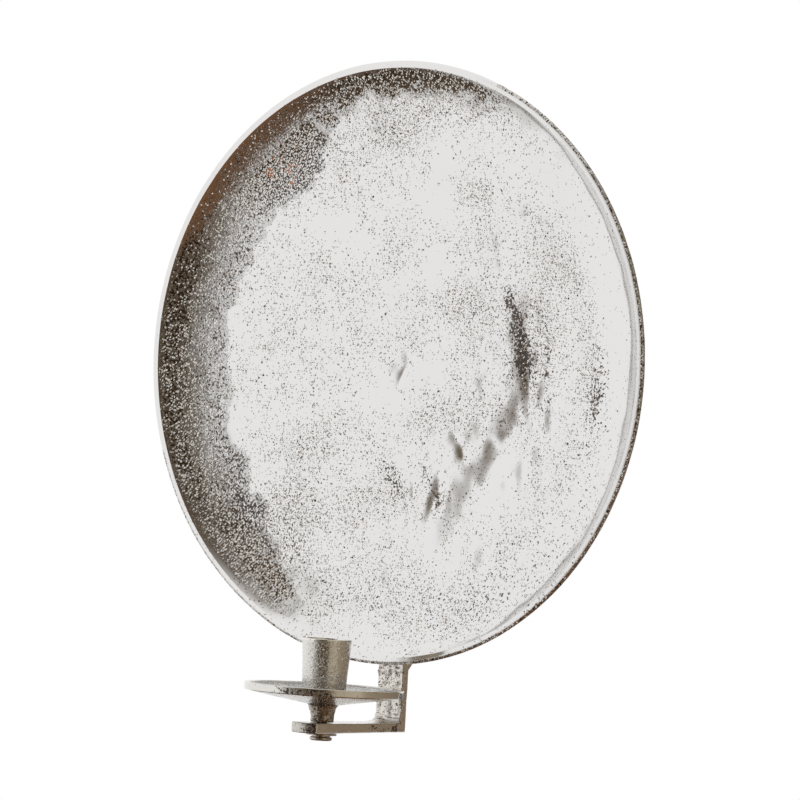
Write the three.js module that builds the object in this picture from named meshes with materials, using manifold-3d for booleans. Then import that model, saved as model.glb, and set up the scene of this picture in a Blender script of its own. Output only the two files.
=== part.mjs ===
// Wall candle holder: a cast reflector dish that hangs on a wall screw, with an arm below it
// that carries a stem, a drip pan and a candle cup, clamped together by one screw from underneath.
// Millimetres, +Z up. The dish faces -Y and +Y points into the wall. The origin is where the wall
// screw's shank bears, at the top of the hanger's keyhole, on the wall's surface.
import * as THREE from 'three';
import { mergeVertices } from 'three/addons/utils/BufferGeometryUtils.js';
import Module from 'manifold-3d';

const wasm = await Module();
wasm.setup();

// Reflector dish
const dishRadius = 170;
const lipWidth = 4;
const rimRound = 1.7;
const dishDepth = 12.4;
const dishThick = 5;
const floorRadius = 124;
const wallAngle = THREE.MathUtils.degToRad(40);

// Bracket: a foot on the dish's back, a post below the rim and an arm that runs forward
const barWidth = 17.8;
const footThick = 8;
const postThick = 5;
const footBelowRim = 2.7;
const footAboveFloorEdge = 46;
const armBelowRim = 32.7;
const armNoseThick = 5.8;
const armHeelThick = 4.9;
const cornerFillet = 5;
const cupReach = 45.3;
const noseReach = 19.4;
const noseRadius = 13.8;

// Bracket screws, countersunk into the foot from behind
const bracketScrewShank = 4;
const bracketScrewHead = 8;
const bracketScrewFromFootTop = 10;
const bracketScrewSpacing = 24;

// Hanger: a bent strap with a keyhole, and its two screws
const hangerAboveCentre = 96;
const strapThick = 2;
const strapHeight = 26;
const strapAboveSeat = 6.5;
const bridgeWidth = 30;
const tabWidth = 13;
const riserRun = 2.5;
const keySlotWidth = 5;
const keyEntryDiameter = 10;
const keyDrop = 9;
const hangerScrewShank = 4;
const hangerScrewHead = 8;
const hangerScrewHeadHeight = 2.4;
const hangerScrewHeadEdge = 1.2;
const hangerScrewHeadTop = 6;

// Stem, drip pan and candle cup
const stemHeight = 9.8;
const stemFootDiameter = 12.7;
const stemWaistDiameter = 13.5;
const stemTopDiameter = 18.4;
const stemWaistHeight = 3.9;
const stemFlareCorner = 0.6;
const stemFlareDrop = 1;
const panDiameter = 89.4;
const panRimHeight = 4.2;
const panRimWidth = 2.2;
const panRimFoot = 2.2;
const panThick = 3.5;
const panSlope = THREE.MathUtils.degToRad(9.8);
const cupHeight = 32.45;
const cupMouthDiameter = 27.8;
const cupBaseDiameter = 24;
const candleDiameter = 22;
const candleDepth = 21.5;
const candleClearance = 0.25;
const candleDraft = 0.4;
const cupSeatMargin = 1.5;

// Clamp screw and the washers under the arm
const clampShank = 6;
const clampHeadDiameter = 12.6;
const clampHeadHeight = 2.1;
const clampHeadChamfer = 0.5;
const washerDiameter = 17.6;
const washerThick = 1;
const lockWasherDiameter = 10.8;
const lockWasherThick = 0.7;
const lockWasherSplit = 1.2;
const slotWidth = 1.4;
const slotDepth = 1;

// Clearances: around a shank, past a screw's end, between pieces that turn on each other, and
// round a countersunk head
const shankGap = 0.3;
const endGap = 0.3;
const turnGap = 0.3;
const headGap = 0.3;

// Metal left past the end of a blind hole, in the dish and under the candle
const dishHoleCover = 0.7;
const cupHoleCover = 3;

// Facets round each piece, and steps along each curve
const dishFacets = 96;
const panFacets = 64;
const cupFacets = 48;
const smallFacets = 32;
const screwFacets = 24;
const dishCurveSteps = 8;
const curveSteps = 6;

// How far a cutter runs past the face that it cuts, and how near two points are to be one
const cutOverrun = 1;
const mergeReach = 1e-4;

// Where things lie, worked out from the sizes above. Heights are from the dish's centre.
const wallY = 0;
const dishBackY = wallY - footThick;
const dishHoleDepth = dishThick - dishHoleCover;
const bracketScrewLength = footThick + dishHoleDepth - endGap;
const hangerScrewLength = strapThick + dishHoleDepth - endGap;
const lipY = dishBackY - dishThick - dishDepth;
const postBackY = dishBackY + postThick;
const rimBottomZ = -dishRadius;
const footTopZ = -floorRadius + footAboveFloorEdge;
const footBottomZ = rimBottomZ - footBelowRim;
const armTopZ = rimBottomZ - armBelowRim;
const cupY = lipY - cupReach;
const noseY = cupY - noseReach;
const armRun = postBackY - noseY;
const armThickAt = (y) => armHeelThick + (armNoseThick - armHeelThick) * ((postBackY - y) / armRun);
const armBottomAt = (y) => armTopZ - armThickAt(y);
const stemBottomZ = armTopZ + turnGap;
const panSeatZ = stemBottomZ + stemHeight;
const panRadius = panDiameter / 2;
const panRise = Math.tan(panSlope) * (panRadius - stemTopDiameter / 2);
const panRimLowZ = panSeatZ + panRise;
const panRimTopZ = panRimLowZ + panRimHeight;
const panInnerRadius = panRadius - panRimWidth;
const cupSeatRadius = cupBaseDiameter / 2 + cupSeatMargin;
const panFloorAt = (radius) => panSeatZ + Math.tan(panSlope) * (radius - stemTopDiameter / 2) + panThick;
const cupSeatZ = panFloorAt(cupSeatRadius);
const cupMouthZ = cupSeatZ + cupHeight;
const candleSeatZ = cupMouthZ - candleDepth;
const boreRadius = clampShank / 2 + shankGap;
const washerTopZ = armBottomAt(cupY - washerDiameter / 2) - turnGap;
const lockWasherTopZ = washerTopZ - washerThick;
const clampHeadTopZ = lockWasherTopZ - lockWasherThick - turnGap;
const cupHoleTopZ = candleSeatZ - cupHoleCover;
const clampTipZ = cupHoleTopZ - endGap;

// Materials
const castMetal = (color, roughness) => new THREE.MeshStandardMaterial({ color, roughness, metalness: 1 });
const polishedCast = () => castMetal(0xdedad4, 0.18);
const roughCast = () => castMetal(0xc9c2b6, 0.38);
const plainSteel = () => castMetal(0xb4b2ae, 0.34);

// A closed mesh as a solid, and back
function solidFrom(geometry) {
  const bare = geometry.clone();
  bare.deleteAttribute('normal');
  bare.deleteAttribute('uv');
  const merged = mergeVertices(bare, mergeReach);
  const triVerts = new Uint32Array(merged.index.array);
  const vertProperties = new Float32Array(merged.attributes.position.array);
  return new wasm.Manifold(new wasm.Mesh({ numProp: 3, vertProperties, triVerts }));
}

function geometryFrom(solid) {
  const mesh = solid.getMesh();
  const geometry = new THREE.BufferGeometry();
  geometry.setAttribute('position', new THREE.BufferAttribute(mesh.vertProperties, 3));
  geometry.setIndex(new THREE.BufferAttribute(mesh.triVerts, 1));
  const faceted = geometry.toNonIndexed();
  faceted.computeVertexNormals();
  return faceted;
}

// A profile of [radius, height] points turned about the Y axis, or stood up to turn about Z
function turnedAboutY(profile, facets) {
  const points = profile.map(([radius, height]) => new THREE.Vector2(radius, height));
  return new THREE.LatheGeometry(points, facets);
}

function turnedAboutZ(profile, facets) {
  return turnedAboutY(profile, facets).rotateX(Math.PI / 2);
}

// A ring's profile closes on itself, so that it has a bore
function closedRing(profile) {
  return [...profile, profile[0]];
}

// Points along a quadratic Bezier curve, without its first point
function curvePoints(start, corner, end, steps) {
  const curve = new THREE.QuadraticBezierCurve(
    new THREE.Vector2(...start),
    new THREE.Vector2(...corner),
    new THREE.Vector2(...end),
  );
  return curve.getPoints(steps).slice(1).map((point) => [point.x, point.y]);
}

// A closed rod along Z or Y, by its middle
function rodAlongZ(radius, length, x, y, z, facets) {
  return new THREE.CylinderGeometry(radius, radius, length, facets).rotateX(Math.PI / 2).translate(x, y, z);
}

function rodAlongY(radius, length, x, y, z, facets) {
  return new THREE.CylinderGeometry(radius, radius, length, facets).translate(x, y, z);
}

function cutAll(solid, cutters) {
  return cutters.reduce((rest, cutter) => rest.subtract(solidFrom(cutter)), solid);
}

// Reflector dish: the inside curves up from the floor to the lip, and the back follows it
function reflectorPlate() {
  const lipRadius = dishRadius - lipWidth;
  const floorY = dishDepth;
  const backY = dishDepth + dishThick;
  const innerCorner = [lipRadius - dishDepth / Math.tan(wallAngle), floorY];
  const inside = curvePoints([floorRadius, floorY], innerCorner, [lipRadius, 0], dishCurveSteps);
  const roundCentre = dishRadius - rimRound;
  const roundSweep = Math.PI - wallAngle;
  const rimEdge = [];
  for (let i = 0; i <= curveSteps; i += 1) {
    const turn = (roundSweep * i) / curveSteps;
    rimEdge.push([roundCentre + rimRound * Math.sin(turn), rimRound - rimRound * Math.cos(turn)]);
  }
  const wallStart = rimEdge[curveSteps];
  const outerCorner = [wallStart[0] - (backY - wallStart[1]) / Math.tan(wallAngle), backY];
  const outside = curvePoints(wallStart, outerCorner, [floorRadius, backY], curveSteps);
  const profile = [[0, floorY], [floorRadius, floorY], ...inside, ...rimEdge, ...outside, [0, backY]];
  const dish = solidFrom(turnedAboutY(profile, dishFacets).translate(0, lipY, 0));
  const holes = [];
  for (const z of bracketScrewHeights()) {
    holes.push(dishHole(bracketScrewShank, 0, z));
  }
  for (const x of hangerScrewPlaces()) {
    holes.push(dishHole(hangerScrewShank, x, strapMiddleZ()));
  }
  return cutAll(dish, holes);
}

// A blind hole that opens at the dish's back
function dishHole(shank, x, z) {
  const middleY = dishBackY - (dishHoleDepth - cutOverrun) / 2;
  return rodAlongY(shank / 2 + shankGap, dishHoleDepth + cutOverrun, x, middleY, z, screwFacets);
}

// Bracket: its side outline is drawn in Y and Z and runs across the bar's width
function bracketScrewHeights() {
  const upper = footTopZ - bracketScrewFromFootTop;
  return [upper, upper - bracketScrewSpacing];
}

function bracketCasting() {
  const outline = new THREE.Shape();
  const step = footThick - postThick;
  outline.moveTo(wallY, footTopZ);
  outline.lineTo(wallY, footBottomZ + step);
  outline.lineTo(postBackY, footBottomZ);
  outline.lineTo(postBackY, armBottomAt(postBackY));
  outline.lineTo(noseY, armBottomAt(noseY));
  outline.lineTo(noseY, armTopZ);
  outline.lineTo(dishBackY - cornerFillet, armTopZ);
  outline.quadraticCurveTo(dishBackY, armTopZ, dishBackY, armTopZ + cornerFillet);
  outline.lineTo(dishBackY, footTopZ);
  outline.closePath();
  const across = { depth: barWidth, bevelEnabled: false, curveSegments: curveSteps };
  const bar = new THREE.ExtrudeGeometry(outline, across);
  const alongY = new THREE.Vector3(0, 1, 0);
  const alongZ = new THREE.Vector3(0, 0, 1);
  const alongX = new THREE.Vector3(1, 0, 0);
  bar.applyMatrix4(new THREE.Matrix4().makeBasis(alongY, alongZ, alongX)).translate(-barWidth / 2, 0, 0);
  const armMiddleZ = armTopZ - armNoseThick / 2;
  const noseTall = armNoseThick + 2 * cutOverrun;
  const discTall = noseTall + 2 * cutOverrun;
  const noseDisc = rodAlongZ(noseRadius, discTall, 0, noseY + noseRadius, armMiddleZ, dishFacets);
  const noseBox = new THREE.BoxGeometry(2 * barWidth, noseRadius, noseTall).translate(0, noseY, armMiddleZ);
  const noseWaste = solidFrom(noseBox).subtract(solidFrom(noseDisc));
  const holes = [rodAlongZ(boreRadius, noseTall, 0, cupY, armMiddleZ, smallFacets)];
  const shankHole = bracketScrewShank / 2 + shankGap;
  const footHole = footThick + 2 * cutOverrun;
  for (const z of bracketScrewHeights()) {
    holes.push(rodAlongY(shankHole, footHole, 0, wallY - footThick / 2, z, screwFacets));
    holes.push(countersink(z));
  }
  return cutAll(solidFrom(bar).subtract(noseWaste), holes);
}

// The cone that a countersunk head lies in, open to the wall side
function countersink(z) {
  const wide = bracketScrewHead / 2 + shankGap + headGap + cutOverrun;
  const narrow = bracketScrewShank / 2 + shankGap;
  const cone = new THREE.CylinderGeometry(wide, narrow, wide - narrow, screwFacets);
  return cone.translate(0, wallY + cutOverrun - (wide - narrow) / 2, z);
}

// The cutter for a driver's slot in a head that faces along Y
function slotAcross(head) {
  return new THREE.BoxGeometry(head + 2 * cutOverrun, 2 * slotDepth, slotWidth);
}

// Countersunk screw: the head's face lies just under the foot's back
function bracketScrew(z) {
  const shank = bracketScrewShank / 2;
  const head = bracketScrewHead / 2;
  const faceY = wallY - headGap;
  const tipY = wallY - bracketScrewLength;
  const profile = [[0, tipY], [shank, tipY], [shank, faceY - (head - shank)], [head, faceY], [0, faceY]];
  const screw = solidFrom(turnedAboutY(profile, screwFacets));
  return cutAll(screw, [slotAcross(bracketScrewHead).translate(0, faceY, 0)]).translate(0, 0, z);
}

// Hanger: a hat-shaped strap, its tabs on the dish's back and its bridge against the wall
function hangerScrewPlaces() {
  const place = bridgeWidth / 2 + riserRun + tabWidth / 2;
  return [-place, place];
}

function strapMiddleZ() {
  return hangerAboveCentre + strapAboveSeat - strapHeight / 2;
}

function hangerStrap() {
  const bridge = bridgeWidth / 2;
  const tabStart = bridge + riserRun;
  const tabEnd = tabStart + tabWidth;
  const tabBackY = dishBackY + strapThick;
  const bridgeFrontY = wallY - strapThick;
  const outline = new THREE.Shape();
  outline.moveTo(-tabEnd, dishBackY);
  outline.lineTo(-tabStart + strapThick / 2, dishBackY);
  outline.lineTo(-bridge + strapThick / 2, bridgeFrontY);
  outline.lineTo(bridge - strapThick / 2, bridgeFrontY);
  outline.lineTo(tabStart - strapThick / 2, dishBackY);
  outline.lineTo(tabEnd, dishBackY);
  outline.lineTo(tabEnd, tabBackY);
  outline.lineTo(tabStart + strapThick / 2, tabBackY);
  outline.lineTo(bridge + strapThick / 2, wallY);
  outline.lineTo(-bridge - strapThick / 2, wallY);
  outline.lineTo(-tabStart - strapThick / 2, tabBackY);
  outline.lineTo(-tabEnd, tabBackY);
  outline.closePath();
  const strap = new THREE.ExtrudeGeometry(outline, { depth: strapHeight, bevelEnabled: false });
  strap.translate(0, 0, strapMiddleZ() - strapHeight / 2);
  const through = 2 * (strapThick + cutOverrun);
  const slotMiddleZ = hangerAboveCentre - keyDrop / 2;
  const cutters = [
    rodAlongY(keyEntryDiameter / 2, through, 0, wallY, hangerAboveCentre - keyDrop, smallFacets),
    rodAlongY(keySlotWidth / 2, through, 0, wallY, hangerAboveCentre, smallFacets),
    new THREE.BoxGeometry(keySlotWidth, through, keyDrop).translate(0, wallY, slotMiddleZ),
  ];
  for (const x of hangerScrewPlaces()) {
    const radius = hangerScrewShank / 2 + shankGap;
    cutters.push(rodAlongY(radius, through, x, dishBackY + strapThick / 2, strapMiddleZ(), screwFacets));
  }
  return cutAll(solidFrom(strap), cutters);
}

// Pan-head screw through the strap's tab
function hangerScrew(x) {
  const shank = hangerScrewShank / 2;
  const head = hangerScrewHead / 2;
  const seatY = dishBackY + strapThick;
  const topY = seatY + hangerScrewHeadHeight;
  const tipY = seatY - hangerScrewLength;
  const profile = [
    [0, tipY],
    [shank, tipY],
    [shank, seatY],
    [head, seatY],
    [head, seatY + hangerScrewHeadEdge],
    [hangerScrewHeadTop / 2, topY],
    [0, topY],
  ];
  const screw = solidFrom(turnedAboutY(profile, screwFacets));
  return cutAll(screw, [slotAcross(hangerScrewHead).translate(0, topY, 0)]).translate(x, 0, strapMiddleZ());
}

// Stem: a straight foot that flares to meet the drip pan
function stemSpacer() {
  const foot = stemFootDiameter / 2;
  const waist = stemWaistDiameter / 2;
  const top = stemTopDiameter / 2;
  const waistZ = stemBottomZ + stemWaistHeight;
  const flareCorner = [waist + stemFlareCorner, panSeatZ - stemFlareDrop];
  const flare = curvePoints([waist, waistZ], flareCorner, [top, panSeatZ], curveSteps);
  const profile = [
    [boreRadius, stemBottomZ],
    [foot, stemBottomZ],
    [waist, waistZ],
    ...flare,
    [boreRadius, panSeatZ],
  ];
  return solidFrom(turnedAboutZ(closedRing(profile), cupFacets).translate(0, cupY, 0));
}

// Drip pan: a shallow bowl with an upright rim and a flat seat for the cup
function dripPan() {
  const floorEdge = panInnerRadius - panRimFoot;
  const profile = [
    [boreRadius, panSeatZ],
    [stemTopDiameter / 2, panSeatZ],
    [panRadius, panRimLowZ],
    [panRadius, panRimTopZ],
    [panInnerRadius, panRimTopZ],
    [floorEdge, panFloorAt(floorEdge)],
    [cupSeatRadius, cupSeatZ],
    [boreRadius, cupSeatZ],
  ];
  return solidFrom(turnedAboutZ(closedRing(profile), panFacets).translate(0, cupY, 0));
}

// Candle cup: tapered outside, a slightly drafted bore for the candle, a blind hole below
function candleCup() {
  const boreAtMouth = candleDiameter / 2 + candleClearance;
  const boreAtSeat = boreAtMouth - candleDraft;
  const profile = [
    [0, cupHoleTopZ],
    [boreRadius, cupHoleTopZ],
    [boreRadius, cupSeatZ],
    [cupBaseDiameter / 2, cupSeatZ],
    [cupMouthDiameter / 2, cupMouthZ],
    [boreAtMouth, cupMouthZ],
    [boreAtSeat, candleSeatZ],
    [0, candleSeatZ],
  ];
  return solidFrom(turnedAboutZ(profile, cupFacets).translate(0, cupY, 0));
}

// Washers under the arm, the thin one split
function flatRing(outer, inner, topZ, thick, facets) {
  const profile = [[inner, topZ - thick], [outer, topZ - thick], [outer, topZ], [inner, topZ]];
  return solidFrom(turnedAboutZ(closedRing(profile), facets).translate(0, cupY, 0));
}

function plainWasher() {
  return flatRing(washerDiameter / 2, boreRadius, washerTopZ, washerThick, cupFacets);
}

function splitWasher() {
  const ring = flatRing(lockWasherDiameter / 2, boreRadius, lockWasherTopZ, lockWasherThick, smallFacets);
  const splitTall = 2 * (lockWasherThick + cutOverrun);
  const split = new THREE.BoxGeometry(lockWasherDiameter, lockWasherSplit, splitTall);
  return cutAll(ring, [split.translate(lockWasherDiameter / 2, cupY, lockWasherTopZ)]);
}

// Clamp screw: a low disc head, slotted underneath, and a shank up into the cup
function clampScrew() {
  const shank = clampShank / 2;
  const head = clampHeadDiameter / 2;
  const bottomZ = clampHeadTopZ - clampHeadHeight;
  const profile = [
    [0, bottomZ],
    [head - clampHeadChamfer, bottomZ],
    [head, bottomZ + clampHeadChamfer],
    [head, clampHeadTopZ - clampHeadChamfer],
    [head - clampHeadChamfer, clampHeadTopZ],
    [shank, clampHeadTopZ],
    [shank, clampTipZ],
    [0, clampTipZ],
  ];
  const screw = solidFrom(turnedAboutZ(profile, smallFacets).translate(0, cupY, 0));
  const slot = slotAcross(clampHeadDiameter).rotateX(Math.PI / 2);
  return cutAll(screw, [slot.translate(0, cupY, bottomZ)]);
}

// The holder, hung so that the origin is at the top of the keyhole
const holder = new THREE.Group();
const hung = new THREE.Group();
hung.position.set(0, 0, -hangerAboveCentre);
holder.add(hung);

function addPiece(name, solid, material) {
  const mesh = new THREE.Mesh(geometryFrom(solid), material);
  mesh.name = name;
  hung.add(mesh);
}

addPiece('reflector_plate', reflectorPlate(), polishedCast());
addPiece('bracket', bracketCasting(), roughCast());
const [upperScrewZ, lowerScrewZ] = bracketScrewHeights();
addPiece('bracket_screw_upper', bracketScrew(upperScrewZ), plainSteel());
addPiece('bracket_screw_lower', bracketScrew(lowerScrewZ), plainSteel());
addPiece('hanger', hangerStrap(), plainSteel());
const [leftScrewX, rightScrewX] = hangerScrewPlaces();
addPiece('hanger_screw_left', hangerScrew(leftScrewX), plainSteel());
addPiece('hanger_screw_right', hangerScrew(rightScrewX), plainSteel());
addPiece('stem', stemSpacer(), roughCast());
addPiece('drip_pan', dripPan(), polishedCast());
addPiece('candle_cup', candleCup(), roughCast());
addPiece('washer', plainWasher(), plainSteel());
addPiece('lock_washer', splitWasher(), plainSteel());
addPiece('clamp_screw', clampScrew(), plainSteel());

export default holder;
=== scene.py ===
# Wall candle holder: the looks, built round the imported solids. Metres, in the solids' own frame.
# The dish faces -Y, the wall is the plane y = 0, and the origin is where the keyhole hangs.
import math
import bmesh
import bpy
from mathutils import Matrix, Vector, noise


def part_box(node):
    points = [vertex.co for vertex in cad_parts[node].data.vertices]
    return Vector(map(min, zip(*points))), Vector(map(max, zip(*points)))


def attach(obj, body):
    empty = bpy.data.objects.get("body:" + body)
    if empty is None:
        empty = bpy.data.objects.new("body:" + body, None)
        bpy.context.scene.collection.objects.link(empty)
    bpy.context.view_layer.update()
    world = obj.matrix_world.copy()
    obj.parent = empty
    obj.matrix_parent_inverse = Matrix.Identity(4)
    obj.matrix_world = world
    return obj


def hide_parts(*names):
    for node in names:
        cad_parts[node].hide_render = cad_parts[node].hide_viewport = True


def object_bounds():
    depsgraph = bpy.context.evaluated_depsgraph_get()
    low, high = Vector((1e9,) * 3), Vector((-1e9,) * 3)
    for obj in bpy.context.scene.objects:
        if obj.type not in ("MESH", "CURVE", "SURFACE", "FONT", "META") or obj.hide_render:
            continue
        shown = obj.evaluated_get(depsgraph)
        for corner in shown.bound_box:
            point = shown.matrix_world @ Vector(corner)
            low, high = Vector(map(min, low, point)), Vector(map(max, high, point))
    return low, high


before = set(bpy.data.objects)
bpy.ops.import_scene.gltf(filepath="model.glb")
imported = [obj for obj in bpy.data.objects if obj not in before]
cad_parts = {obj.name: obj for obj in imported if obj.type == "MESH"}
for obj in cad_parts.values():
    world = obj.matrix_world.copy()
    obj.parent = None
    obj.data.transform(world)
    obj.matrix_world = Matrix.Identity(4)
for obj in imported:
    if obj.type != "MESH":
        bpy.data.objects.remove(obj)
cad_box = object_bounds()

MM = 0.001
UP = Vector((0.0, 0.0, 1.0))
TO_WALL = Vector((0.0, 1.0, 0.0))
ACROSS = Vector((1.0, 0.0, 0.0))
SHARP_ANGLE = math.radians(38)
MERGE = 1e-6

# Places taken from the solids
plate_low, plate_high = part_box("reflector_plate")
bracket_low, bracket_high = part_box("bracket")
hanger_low, hanger_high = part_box("hanger")
stem_low, stem_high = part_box("stem")
pan_low, pan_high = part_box("drip_pan")
cup_low, cup_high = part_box("candle_cup")
washer_low, washer_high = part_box("washer")
lock_low, lock_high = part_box("lock_washer")
clamp_low, clamp_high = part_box("clamp_screw")
dish_centre = Vector((0.0, 0.0, (plate_low.z + plate_high.z) / 2))
cup_axis = Vector((0.0, (cup_low.y + cup_high.y) / 2, 0.0))

# Dish, as its solid is made
RIM_RADIUS = (plate_high.x - plate_low.x) / 2
LIP_Y = plate_low.y
BACK_Y = plate_high.y
LIP_WIDTH = 4 * MM
RIM_ROUND = 1.7 * MM
DISH_THICK = 5 * MM
FLOOR_RADIUS = 124 * MM
WALL_ANGLE = math.radians(40)
FLOOR_Y = BACK_Y - DISH_THICK

# Bracket
BAR_HALF = (bracket_high.x - bracket_low.x) / 2
POST_THICK = 5 * MM
FOOT_THICK = 8 * MM
FOOT_BELOW_RIM = 2.7 * MM
ARM_TOP_Z = stem_low.z - 0.3 * MM
ARM_NOSE_THICK = 5.8 * MM
ARM_HEEL_THICK = 4.9 * MM
CORNER_FILLET = 5 * MM
NOSE_RADIUS = 13.8 * MM

# Bores and screws
BORE_RADIUS = 3.3 * MM
SHANK_RADIUS = 3 * MM
THREAD_PITCH = 1 * MM
SMALL_SHANK = 2 * MM
SMALL_HEAD = 4 * MM
SMALL_PITCH = 0.7 * MM
SLOT_WIDTH = 1.4 * MM
SLOT_DEPTH = 1 * MM
HEAD_CHAMFER = 0.5 * MM

# Camera: fitted to the photograph's rim, pan, cup and arm
CAMERA_AZIMUTH = math.radians(35.82)
CAMERA_ELEVATION = math.radians(0.41)
CAMERA_ROLL = math.radians(3.68)
CAMERA_DISTANCE = 5.0
FOCAL_PIXELS = 8900
IMAGE_SIZE = 800
LIP_CENTRE_PIXEL = (392.6, 362.42)


def place_camera():
    lip_centre = dish_centre + TO_WALL * LIP_Y
    back = Vector((
        math.sin(CAMERA_AZIMUTH) * math.cos(CAMERA_ELEVATION),
        -math.cos(CAMERA_AZIMUTH) * math.cos(CAMERA_ELEVATION),
        math.sin(CAMERA_ELEVATION),
    ))
    level = Vector((math.cos(CAMERA_AZIMUTH), math.sin(CAMERA_AZIMUTH), 0.0))
    roll = Matrix.Rotation(CAMERA_ROLL, 3, back)
    right = roll @ level
    top = roll @ back.cross(level)
    metres_per_pixel = CAMERA_DISTANCE / FOCAL_PIXELS
    aside = (IMAGE_SIZE / 2 - LIP_CENTRE_PIXEL[0]) * metres_per_pixel
    below = (IMAGE_SIZE / 2 - LIP_CENTRE_PIXEL[1]) * metres_per_pixel
    eye = lip_centre + back * CAMERA_DISTANCE
    backward = (eye - (lip_centre + right * aside - top * below)).normalized()
    right = top.cross(backward).normalized()
    top = backward.cross(right)
    camera = bpy.data.cameras.new("camera")
    camera.sensor_width = 36
    camera.lens = camera.sensor_width * FOCAL_PIXELS / IMAGE_SIZE
    camera.clip_start = 0.1
    camera.clip_end = 100
    holder = bpy.data.objects.new("camera", camera)
    holder.matrix_world = Matrix((
        (right.x, top.x, backward.x, eye.x),
        (right.y, top.y, backward.y, eye.y),
        (right.z, top.z, backward.z, eye.z),
        (0, 0, 0, 1),
    ))
    bpy.context.scene.collection.objects.link(holder)
    bpy.context.scene.camera = holder


# Node trees
def add_node(tree, kind):
    return tree.nodes.new("ShaderNode" + kind)


def wire(kind, sockets, **settings):
    """Adds a node to its links' tree. Each socket, by name or number, gets a link or a value."""
    links = {name: value for name, value in sockets.items() if isinstance(value, bpy.types.NodeSocket)}
    tree = next(iter(links.values())).id_data
    made = add_node(tree, kind)
    for name, value in settings.items():
        setattr(made, name, value)
    for name, value in sockets.items():
        if name in links:
            tree.links.new(value, made.inputs[name])
        else:
            made.inputs[name].default_value = value
    return made


def math_node(operation, first, second=0.0):
    return wire("Math", {0: first, 1: second}, operation=operation).outputs[0]


def plus(first, second):
    return math_node("ADD", first, second)


def minus(first, second):
    return math_node("SUBTRACT", first, second)


def times(first, second):
    return math_node("MULTIPLY", first, second)


def larger(first, second):
    return math_node("MAXIMUM", first, second)


def scaled(share, low, high):
    """A share from 0 to 1 as a value from low to high."""
    return wire("MapRange", {0: share, 3: low, 4: high}).outputs[0]


def ramp_between(value, low, high, to_low=0.0, to_high=1.0):
    """A smooth step of value from low to high."""
    sockets = {0: value, 1: low, 2: high, 3: to_low, 4: to_high}
    return wire("MapRange", sockets, interpolation_type="SMOOTHSTEP").outputs[0]


def mixed_colour(factor, first, second):
    made = wire("Mix", {0: factor, 6: first, 7: second}, data_type="RGBA")
    return made.outputs[2]


def noise_value(coordinates, scale, detail=2.0, roughness=0.5):
    sockets = {"Vector": coordinates, "Scale": scale, "Detail": detail, "Roughness": roughness}
    return wire("TexNoise", sockets).outputs["Fac"]


def vector_node(operation, first, second, third=(0.0, 0.0, 0.0)):
    return wire("VectorMath", {0: first, 1: second, 2: third}, operation=operation)


def distance(place, point):
    return vector_node("DISTANCE", place, point).outputs["Value"]


def attribute(tree, name):
    node = add_node(tree, "Attribute")
    node.attribute_name = name
    return node.outputs["Fac"]


def rgba(colour):
    return (*colour, 1.0)


def bare_material(name):
    """A material whose tree holds one node, and what it gives: the place of each point."""
    material = bpy.data.materials.new(name)
    material.use_nodes = True
    tree = material.node_tree
    tree.nodes.clear()
    place = add_node(tree, "TexCoord").outputs["Object"]
    return material, place


def covered(shader):
    """Puts a shader on the material's surface."""
    wire("OutputMaterial", {"Surface": shader.outputs[0]})


# Studio
WHITE = (1.0, 1.0, 1.0)
WORLD_DIFFUSE = 0.7
STUDIO_FLOOR_Z = cad_box[0].z - 0.9
STUDIO_FLOOR_RADIUS = 9.0
STUDIO_FLOOR_COLOURS = ((0.82, 0.81, 0.79), (0.84, 0.83, 0.81))
FLAG_RADIUS = 2.5
FLAG_HEIGHT = 6.6
# Heights on the side flag above the dish, in flag radii: the upper tones come in, and all fades to white
FLAG_UPPER = (0.12, 0.40)
FLAG_FADE = (0.75, 2.10)
FLAG_SLANT = 0.35
LOW_FLAG_SHIFT = Vector((0.6, 0.1, 20 * MM))
LAMP_RADIANCE = 1.05
# Lamps: name, azimuth and elevation in degrees, distance and width
LAMPS = (
    ("left_softbox", -75, 35, 3.2, 2.2),
    ("top_softbox", 10, 80, 3.0, 2.0),
)


def make_world():
    """White to the camera and in reflections, and a softer white as fill."""
    world = bpy.data.worlds.new("studio")
    world.use_nodes = True
    tree = world.node_tree
    tree.nodes.clear()
    path = add_node(tree, "LightPath")
    seen = larger(path.outputs["Is Camera Ray"], path.outputs["Is Glossy Ray"])
    seen = larger(seen, path.outputs["Is Transmission Ray"])
    strength = scaled(seen, WORLD_DIFFUSE, 1.0)
    sky = wire("Background", {"Color": rgba(WHITE), "Strength": strength})
    wire("OutputWorld", {"Surface": sky.outputs[0]})
    world.cycles.sampling_method = "NONE"
    bpy.context.scene.world = world


def stage_object(name, bm, material, glossy_only=False):
    material.cycles.emission_sampling = "NONE"
    mesh = bpy.data.meshes.new(name)
    bm.to_mesh(mesh)
    bm.free()
    made = bpy.data.objects.new(name, mesh)
    made.data.materials.append(material)
    bpy.context.scene.collection.objects.link(made)
    if glossy_only:
        made.visible_camera = False
        made.visible_diffuse = False
        made.visible_transmission = False
        made.visible_shadow = False


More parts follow.
